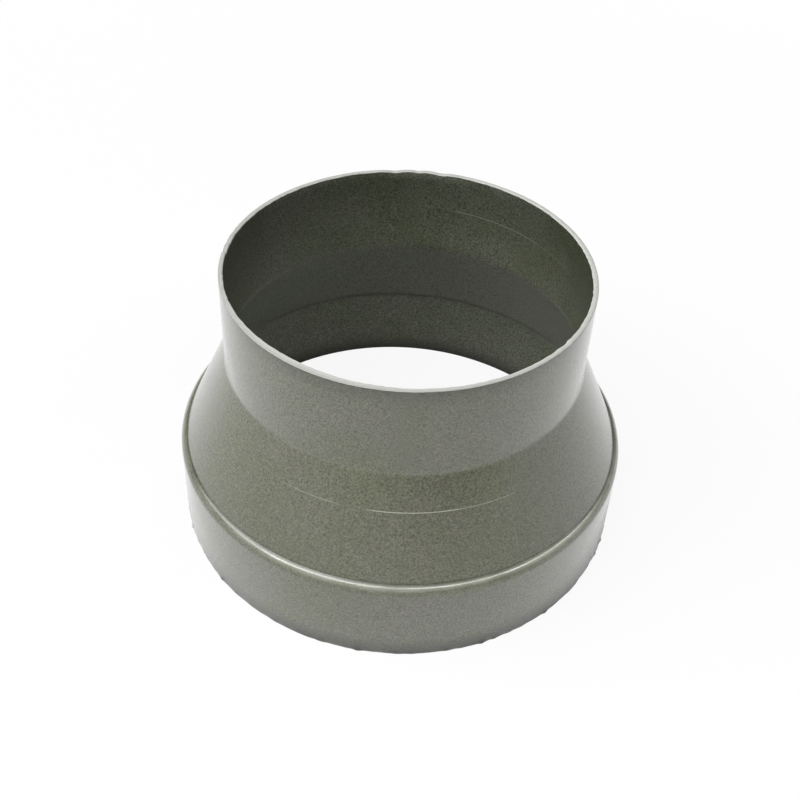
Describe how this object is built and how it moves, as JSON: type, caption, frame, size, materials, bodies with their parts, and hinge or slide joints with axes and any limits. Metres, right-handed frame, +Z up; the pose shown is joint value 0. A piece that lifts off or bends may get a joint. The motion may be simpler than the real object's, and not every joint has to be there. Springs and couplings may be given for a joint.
{
  "type": "duct reducer",
  "caption": "Round grey plastic duct reducer: a straight collar on a cone that widens to a socket, with a rounded shoulder around the top of the socket.",
  "frame": {"origin": "middle of the wide end's lower edge, on the surface that it stands on", "axes": "+Z up along the duct's axis, from the wide socket to the narrow collar"},
  "size_m": [0.1538, 0.1538, 0.0962],
  "materials": {
    "body": "satin"
  },
  "bodies": {
    "root": {"reducer_body": "body"}
  },
  "joints": []
}
